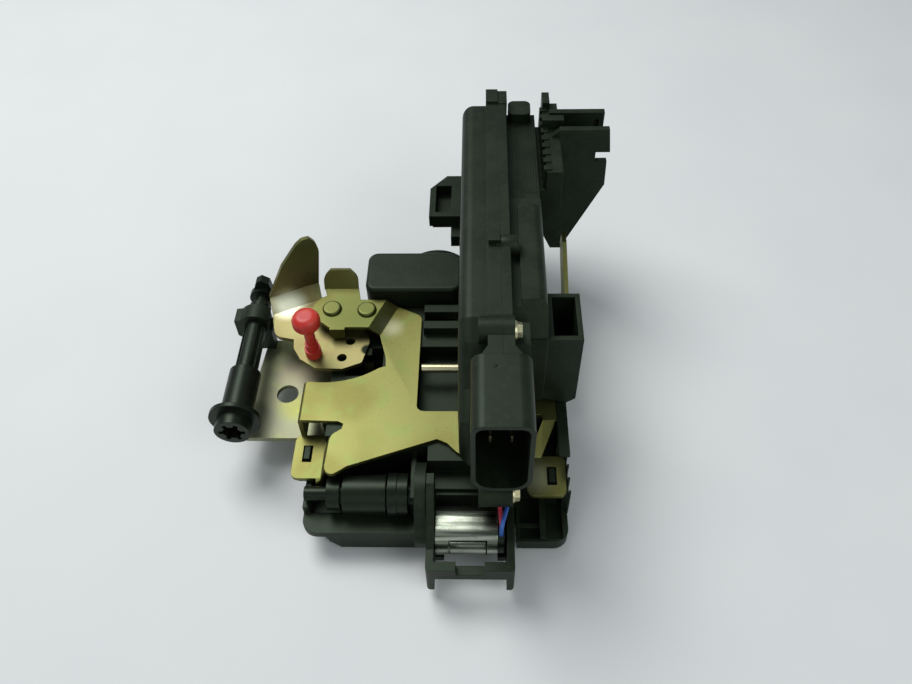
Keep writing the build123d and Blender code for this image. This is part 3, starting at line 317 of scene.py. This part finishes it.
# %% Motor, pull-out pin, leads, terminals and rubber
def drawn_metal(name, bright, dull, roughness):
    finish = Finish(name, Metallic=1.0)
    streak = finish.noise(1.6, detail=2.0, at=finish.stretched(0.05, 1.0, 1.0))
    cloud = finish.noise(5.0, detail=2.0)
    rounded = finish.rounded(0.3)
    base = finish.mix(streak.clipped(0.35, 0.65) * 0.7, (*dull, 1), (*bright, 1))
    base = finish.mix(cloud.clipped(0.45, 0.7) * 0.4, base, (*dull, 1))
    rough = roughness + 0.14 * streak + 0.08 * cloud
    return finish.wear(Base_Color=base, Roughness=rough,
                       Normal=finish.bump(streak, 0.006, rounded))


def moulded_colour(name, colour, faded, roughness, grain_mm=0.3):
    finish = Finish(name, Specular_IOR_Level=0.5)
    cloud = finish.noise(4.0, detail=3.0)
    fine = finish.noise(grain_mm, detail=2.0)
    rounded = finish.rounded(0.25)
    edge = finish.edges(rounded)
    base = finish.mix(cloud.clipped(0.35, 0.7) * 0.6 + edge * 0.3, (*colour, 1), (*faded, 1))
    return finish.wear(Base_Color=base, Roughness=roughness + 0.15 * cloud,
                       Normal=finish.bump(fine, 0.006, rounded))


CAN = drawn_metal("motor_can_metal", (0.56, 0.60, 0.50), (0.10, 0.12, 0.09), 0.16)
COPPER = drawn_metal("winding_copper", (0.70, 0.36, 0.18), (0.42, 0.2, 0.1), 0.34)
BRASS = drawn_metal("terminal_brass_metal", (0.78, 0.66, 0.38), (0.6, 0.5, 0.3), 0.26)
RED = moulded_colour("red_plastic_moulding", (0.50, 0.018, 0.012), (0.62, 0.07, 0.04), 0.34)
LEAD_RED = moulded_colour("lead_red_sleeve", (0.62, 0.02, 0.06), (0.75, 0.12, 0.16), 0.35)
LEAD_BLUE = moulded_colour("lead_blue_sleeve", (0.02, 0.08, 0.38), (0.06, 0.18, 0.5), 0.35)
RUBBER = moulded_colour("buffer_rubber_moulding", (0.012, 0.012, 0.012), (0.03, 0.03, 0.03),
                        0.6, grain_mm=0.15)
give(CAN, "motor_can", "lock_motor")
give(COPPER, "motor_rotor", "lock_armature")
give(BRASS, "connector_terminals")
give(RED, "emergency_pin")
give(LEAD_RED, "red_lead")
give(LEAD_BLUE, "blue_lead")
give(RUBBER, "striker_buffer")
finishes = {node.data.materials[0].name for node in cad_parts.values()}
print("finishes in use:", sorted(finishes))

# %% [markdown]
# The back plate and the release lever are pressed from sheet, so they run in soft
# bends, their corners are round and their sheared rims are slightly rolled.  The
# solids have flat facets there.  A copy of the solid's mesh is merged and its flat
# triangles are joined.  The edges between two sheet faces then get a wide bevel, which
# bends the sheet, and the short edges across the rim get one that rounds the outline.


# %% Softly bent sheet
LEAST_BEND, MOST_BEND = 8, 62
FACING_UP = 0.3
RIM_TOLERANCE_MM = 0.12


def sheet_bends(sheet):
    """Edges between two broad faces of a bent sheet."""
    bends = []
    for edge in sheet.edges:
        if len(edge.link_faces) == 2:
            first, second = (face.normal for face in edge.link_faces)
            turn = math.degrees(first.angle(second, 0.0))
            broad = abs(first.z) > FACING_UP and abs(second.z) > FACING_UP
            if LEAST_BEND < turn < MOST_BEND and broad:
                bends.append(edge)
    return bends


def rim_corners(sheet, thickness_mm, corner_deg, radius_mm):
    """Outer corners of the rim whose neighbours leave room for a radius."""
    corners = []
    for edge in sheet.edges:
        crosses_rim = abs(edge.calc_length() - thickness_mm * MM) < RIM_TOLERANCE_MM * MM
        if crosses_rim and len(edge.link_faces) == 2 and edge.is_convex:
            first, second = (face.normal for face in edge.link_faces)
            room = min(face.calc_area() / edge.calc_length() for face in edge.link_faces)
            sharp = first.angle(second, 0.0) > math.radians(corner_deg)
            if sharp and room > 2.1 * radius_mm * MM:
                corners.append(edge)
    return corners


def round_over(sheet, edges, offset_mm, keep_apart):
    """Bevels edges in six steps; keep_apart makes all of them smaller where two meet."""
    bmesh.ops.bevel(sheet, geom=edges, offset=offset_mm * MM, offset_type="OFFSET", segments=6,
                    profile=0.5, affect="EDGES", clamp_overlap=keep_apart)
    return len(edges)


def sheet_copy(node, bend_mm, rim_mm, corner_mm, corner_deg, thickness_mm, name, body, finish):
    """A CAD sheet part with round bends, round corners and a softened rim."""
    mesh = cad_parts[node].data.copy()
    mesh.name = name
    sheet = bmesh.new()
    sheet.from_mesh(mesh)
    bmesh.ops.remove_doubles(sheet, verts=sheet.verts, dist=2e-6)
    bmesh.ops.dissolve_limit(sheet, angle_limit=math.radians(0.6), verts=sheet.verts,
                             edges=sheet.edges)
    bends = round_over(sheet, sheet_bends(sheet), bend_mm, True)
    corners = 0
    for radius_mm in (corner_mm, corner_mm / 2, corner_mm / 4):
        sharp = rim_corners(sheet, thickness_mm, corner_deg, radius_mm)
        corners += round_over(sheet, sharp, radius_mm, False)
    sheet.to_mesh(mesh)
    sheet.free()
    piece = bpy.data.objects.new(name, mesh)
    bpy.context.scene.collection.objects.link(piece)
    rim = piece.modifiers.new("rim", "BEVEL")
    rim.width = rim_mm * MM
    rim.segments = 2
    rim.limit_method = "ANGLE"
    rim.angle_limit = math.radians(50)
    for polygon in mesh.polygons:
        polygon.use_smooth = True
    mesh.set_sharp_from_angle(angle=math.radians(30))
    mesh.materials.clear()
    mesh.materials.append(finish)
    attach(piece, body)
    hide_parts(node)
    print(name, "bends:", bends, "corners:", corners, "faces:", len(mesh.polygons))


sheet_copy("back_plate", 1.5, 0.22, 1.8, 24, 1.5, "pressed_back_plate", "latch_case",
           YELLOW_ZINC)
sheet_copy("release_lever", 1.2, 0.16, 2.4, 9, 1.8, "pressed_release_lever",
           "release_lever", LEVER_ZINC)

# %% [markdown]
# Screws, springs and rows of ribs repeat one form, which is what Geometry Nodes are
# for.  Each tree has named inputs for its sizes.  The helper below builds a tree from
# a short list of nodes and links, runs it once and keeps the result as a plain mesh.


# %% Geometry Nodes helper
class Builder:
    """A Geometry Nodes tree with named number inputs."""

    def __init__(self, name, **sizes):
        self.sizes = sizes
        self.tree = bpy.data.node_groups.new(name, "GeometryNodeTree")
        self.tree.interface.new_socket("Geometry", in_out="INPUT",
                                       socket_type="NodeSocketGeometry")
        self.tree.interface.new_socket("Geometry", in_out="OUTPUT",
                                       socket_type="NodeSocketGeometry")
        for size in sizes:
            self.tree.interface.new_socket(size, in_out="INPUT", socket_type="NodeSocketFloat")
        self.entry = self.tree.nodes.new("NodeGroupInput")
        self.exit = self.tree.nodes.new("NodeGroupOutput")

    def size(self, name):
        return self.entry.outputs[name]

    def points(self):
        return self.entry.outputs["Geometry"]

    def node(self, kind, sockets, output=0, **settings):
        made = self.tree.nodes.new(kind)
        for key, value in settings.items():
            setattr(made, key, value)
        for key, value in sockets.items():
            for one in value if isinstance(value, list) else [value]:
                if isinstance(one, bpy.types.NodeSocket):
                    self.tree.links.new(one, made.inputs[key])
                else:
                    made.inputs[key].default_value = one
        return made.outputs[output]

    def sum(self, first, second, operation="ADD"):
        return self.node("ShaderNodeMath", {0: first, 1: second}, operation=operation)

    def vector(self, x, y, z):
        return self.node("ShaderNodeCombineXYZ", {0: x, 1: y, 2: z})

    def run(self, name, points, material, body, smooth_deg=30.0):
        """Runs the tree on a mesh of bare points and gives back a plain mesh object."""
        realized = self.node("GeometryNodeRealizeInstances", {0: self.result})
        painted = self.node("GeometryNodeSetMaterial", {0: realized, "Material": material})
        self.tree.links.new(painted, self.exit.inputs[0])
        seeds = bpy.data.meshes.new(name + "_points")
        seeds.from_pydata([tuple(c * MM for c in point) for point in points], [], [])
        carrier = bpy.data.objects.new(name, seeds)
        bpy.context.scene.collection.objects.link(carrier)
        modifier = carrier.modifiers.new("build", "NODES")
        modifier.node_group = self.tree
        for item in self.tree.interface.items_tree:
            if item.in_out == "INPUT" and item.name in self.sizes:
                modifier[item.identifier] = self.sizes[item.name]
        evaluated = carrier.evaluated_get(bpy.context.evaluated_depsgraph_get())
        mesh = bpy.data.meshes.new_from_object(evaluated)
        mesh.name = name
        carrier.modifiers.remove(modifier)
        carrier.data = mesh
        bpy.data.meshes.remove(seeds)
        for polygon in mesh.polygons:
            polygon.use_smooth = True
        mesh.set_sharp_from_angle(angle=math.radians(smooth_deg))
        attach(carrier, body)
        print(name, "faces:", len(mesh.polygons))
        return carrier


print("geometry helper ready")

# %% [markdown]
# The cover is held by four self-tapping screws with a washer under a hexagon head.
# One head is built from primitives, a recess is cut into it once, and it is placed on
# the four points where the solids have their screw bosses.

# %% Cover screws
SCREW_FACE_X = 34.0
SCREW_PLACES = [(-12.6, 73.0), (-42.6, 28.4), (94.0, 26.4), (44.0, 26.4)]
screw = Builder("cover_screw", **{"Washer Radius": 3.1 * MM, "Head Radius": 2.5 * MM,
                                  "Head Height": 1.7 * MM, "Shank Radius": 1.45 * MM,
                                  "Shank Length": 9.0 * MM})
WASHER_THICKNESS = 0.7 * MM
HEAD_FOOT = 0.6 * MM
RECESS_RADIUS = 1.3 * MM
RECESS_FLOOR = 1.2 * MM
RECESS_DEPTH = 2.0 * MM


def upright(tree, radius, depth, low, vertices, top_radius=None):
    """A closed cone frustum or cylinder along Z that starts at a height."""
    cone = tree.node("GeometryNodeMeshCone", {"Vertices": vertices, "Radius Bottom": radius,
                                              "Radius Top": radius if top_radius is None
                                              else top_radius, "Depth": depth})
    return tree.node("GeometryNodeTransform", {0: cone,
                                               "Translation": tree.vector(0.0, 0.0, low)})


head = upright(screw, screw.size("Head Radius"), screw.size("Head Height"), HEAD_FOOT, 6,
               screw.sum(screw.size("Head Radius"), 0.2 * MM, "SUBTRACT"))
recess = upright(screw, RECESS_RADIUS, RECESS_DEPTH, RECESS_FLOOR, 6)
head = screw.node("GeometryNodeMeshBoolean", {0: head, 1: recess}, operation="DIFFERENCE",
                  solver="EXACT")
washer = upright(screw, screw.size("Washer Radius"), WASHER_THICKNESS, 0.0, 40,
                 screw.sum(screw.size("Washer Radius"), 0.25 * MM, "SUBTRACT"))
shank = upright(screw, screw.size("Shank Radius"), screw.size("Shank Length"),
                screw.sum(0.1 * MM, screw.size("Shank Length"), "SUBTRACT"), 24)
whole = screw.node("GeometryNodeJoinGeometry", {0: [head, washer, shank]})
whole = screw.node("GeometryNodeTransform", {0: whole, "Rotation": (0.0, math.pi / 2, 0.0)})
seat = screw.node("GeometryNodeMeshToPoints", {0: screw.points()})
screw.result = screw.node("GeometryNodeInstanceOnPoints", {0: seat, "Instance": whole})
screws = screw.run("hex_cover_screws", [(SCREW_FACE_X, y, z) for y, z in SCREW_PLACES],
                   BRIGHT_ZINC, "latch_case")
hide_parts("cover_screws")

# %% [markdown]
# A torsion spring is a wire wound into a helix.  A Spiral node gives its centre line
# from a few sizes, and Curve to Mesh turns it into round wire.


# %% Return springs
def spring(name, node, centre, radius, wire, turns, height, low, arms):
    coil = Builder(name + "_coil", **{"Coil Radius": radius * MM, "Wire Radius": wire / 2 * MM,
                                      "Coil Height": height * MM, "Arm Length": arms * MM})
    line = coil.node("GeometryNodeCurveSpiral",
                     {"Resolution": 28, "Rotations": turns, "Start Radius": coil.size("Coil Radius"),
                      "End Radius": coil.size("Coil Radius"), "Height": coil.size("Coil Height")})
    round_wire = coil.node("GeometryNodeCurvePrimitiveCircle",
                           {"Resolution": 10, "Radius": coil.size("Wire Radius")})
    wound = coil.node("GeometryNodeCurveToMesh", {0: line, 1: round_wire, "Fill Caps": True})
    backwards = coil.sum(0.0, coil.size("Arm Length"), "SUBTRACT")
    arm = coil.node("GeometryNodeCurvePrimitiveLine",
                    {"Start": coil.vector(coil.size("Coil Radius"), 0.0, 0.0),
                     "End": coil.vector(coil.size("Coil Radius"), backwards, 0.0)})
    straight = coil.node("GeometryNodeCurveToMesh", {0: arm, 1: round_wire, "Fill Caps": True})
    both = coil.node("GeometryNodeJoinGeometry", {0: [wound, straight]})
    coil.result = coil.node("GeometryNodeInstanceOnPoints",
                            {0: coil.node("GeometryNodeMeshToPoints", {0: coil.points()}),
                             "Instance": both})
    made = coil.run(name, [(*centre, low)], STEEL, "latch_case", 60.0)
    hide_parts(node)


spring("wound_claw_spring", "claw_spring", (-18.5, 33.0), 5.2, 0.9, 2.6, 1.9, 10.9, 5.0)
spring("wound_pawl_spring", "pawl_spring", (13.0, 31.0), 4.1, 0.8, 2.6, 1.7, 10.8, 2.8)
spring("wound_lever_spring", "lever_spring", (-31.6, 33.5), 4.0, 0.9, 2.6, 1.8, 26.2, 6.6)

# %% [markdown]
# The moulded faces of the actuator carry rows of fine ribs that stiffen them and hide
# sink marks.  A rib is a low rectangular bar; a row of them is one instance
# repeated along a line of points.


# %% Moulded rib rows
def rib_row(name, start, step, count, size):
    """Low bars of one size (x, y, z in millimetres) at equal steps from a start point."""
    row = Builder(name, **{"Bar X": size[0] * MM, "Bar Y": size[1] * MM, "Bar Z": size[2] * MM})
    bar = row.node("GeometryNodeMeshCube", {"Size": row.vector(row.size("Bar X"), row.size("Bar Y"),
                                                               row.size("Bar Z"))})
    row.result = row.node("GeometryNodeInstanceOnPoints",
                          {0: row.node("GeometryNodeMeshToPoints", {0: row.points()}),
                           "Instance": bar})
    places = [tuple(start[axis] + step[axis] * index for axis in range(3)) for index in range(count)]
    row.run(name, places, BLACK, "latch_case")


rib_row("recess_ribs", (37.4, 76.0, 67.5), (0.95, 0.0, 0.0), 8, (0.3, 40.0, 0.3))
rib_row("base_back_ribs", (45.0, 63.0, 45.0), (0.0, 4.2, 0.0), 8, (0.6, 0.9, 14.0))
rib_row("housing_side_ribs", (53.3, -37.0, 13.0), (0.0, 5.0, 0.0), 6, (0.6, 0.9, 14.0))
rib_row("cover_side_ribs", (17.0, 8.0, 52.0), (0.0, 8.0, 0.0), 7, (0.5, 0.8, 30.0))

# %% [markdown]
# A few soft moulded forms remain: a barrel where the two halves of the actuator are
# dowelled together, and the marks that ejector pins and the gate leave.  They are lathe
# forms, made by turning a short profile round an axis, so their ends come out rounded.


# %% Turned mouldings
COVER_SIDE_X = 17.0
HOOD_TOP_Z = 76.0
TURN_STEPS = 32


def turned(name, profile, at, axis):
    """Turns (distance along the axis, radius) pairs round an axis that runs through a point."""
    along = Vector(axis).normalized()
    side = along.orthogonal().normalized()
    other = along.cross(side)
    mesh = bmesh.new()
    rings = []
    for distance, radius in profile:
        centre = Vector(at) + along * distance
        rings.append([mesh.verts.new((centre + (side * math.cos(angle) + other * math.sin(angle))
                                      * radius) * MM)
                      for angle in (2 * math.pi * k / TURN_STEPS for k in range(TURN_STEPS))])
    for first, second in zip(rings, rings[1:]):
        for k in range(TURN_STEPS):
            after = (k + 1) % TURN_STEPS
            mesh.faces.new((first[k], first[after], second[after], second[k]))
    mesh.faces.new(list(reversed(rings[0])))
    mesh.faces.new(rings[-1])
    bmesh.ops.recalc_face_normals(mesh, faces=mesh.faces)
    data = bpy.data.meshes.new(name)
    mesh.to_mesh(data)
    mesh.free()
    for polygon in data.polygons:
        polygon.use_smooth = True
    data.set_sharp_from_angle(angle=math.radians(50))
    data.materials.append(BLACK)
    piece = bpy.data.objects.new(name, data)
    bpy.context.scene.collection.objects.link(piece)
    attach(piece, "latch_case")


turned("flange_barrel", [(0.0, 2.3), (0.5, 3.0), (1.0, 3.3), (7.4, 3.3), (7.9, 3.0), (8.4, 2.3)],
       (28.2, 22.8, 74.0), (1, 0, 0))
for index, (y, z) in enumerate([(-6.0, 40.0), (22.0, 66.0), (48.0, 40.0), (88.0, 62.0)]):
    turned(f"cover_ejector_mark_{index + 1}",
           [(0.0, 2.0), (0.12, 1.9), (0.12, 1.6), (0.04, 1.5)], (COVER_SIDE_X, y, z), (-1, 0, 0))
turned("hood_gate_mark", [(0.0, 0.6), (0.1, 0.55), (0.16, 0.3)], (28.0, -28.5, HOOD_TOP_Z),
       (0, 0, 1))
print("turned mouldings made")

# %% [markdown]
# A plain pale table and soft light from large areas.  The table is one wide plane
# with a faint unevenness, so that it doesn't look like paper cut out with scissors.

# %% Table and light
floor_mesh = bpy.data.meshes.new("table_top")
FLOOR_HALF = 2.0
floor_low = box_after_load[0][2] - 0.0002
floor_mesh.from_pydata([(-FLOOR_HALF, -FLOOR_HALF, floor_low), (FLOOR_HALF, -FLOOR_HALF, floor_low),
                        (FLOOR_HALF, FLOOR_HALF, floor_low), (-FLOOR_HALF, FLOOR_HALF, floor_low)],
                       [], [(0, 1, 2, 3)])
floor = bpy.data.objects.new("table_top", floor_mesh)
bpy.context.scene.collection.objects.link(floor)
table_finish = Finish("table_paint", Specular_IOR_Level=0.3)
table_cloud = table_finish.noise(60.0, detail=2.0)
floor_mesh.materials.append(table_finish.wear(
    Base_Color=table_finish.mix(table_cloud, (0.64, 0.66, 0.66, 1), (0.69, 0.70, 0.70, 1)),
    Roughness=0.6 + 0.1 * table_cloud))


def softbox(name, at, aim, size, watts, colour=(1.0, 1.0, 1.0)):
    """Square area light that stands at one point and faces another."""
    data = bpy.data.lights.new(name, "AREA")
    data.size = size
    data.energy = watts
    data.color = colour
    lamp = bpy.data.objects.new(name, data)
    bpy.context.scene.collection.objects.link(lamp)
    lamp.location = at
    lamp.rotation_euler = (Vector(aim) - Vector(at)).to_track_quat("-Z", "Y").to_euler()
    return lamp


softbox("key_light", (-0.30, 0.32, 0.78), LOOK_AT, 0.5, 6.4)
softbox("fill_light", (0.6, -0.5, 0.6), LOOK_AT, 0.6, 2.4, (0.95, 1.0, 1.0))
softbox("front_light", (-0.1, -0.9, 0.55), LOOK_AT, 0.7, 1.0)
world = bpy.data.worlds.new("studio")
world.use_nodes = True
world.node_tree.nodes["Background"].inputs["Color"].default_value = (0.75, 0.85, 0.88, 1)
world.node_tree.nodes["Background"].inputs["Strength"].default_value = 0.3
bpy.context.scene.world = world
bpy.context.scene.view_settings.view_transform = "Standard"
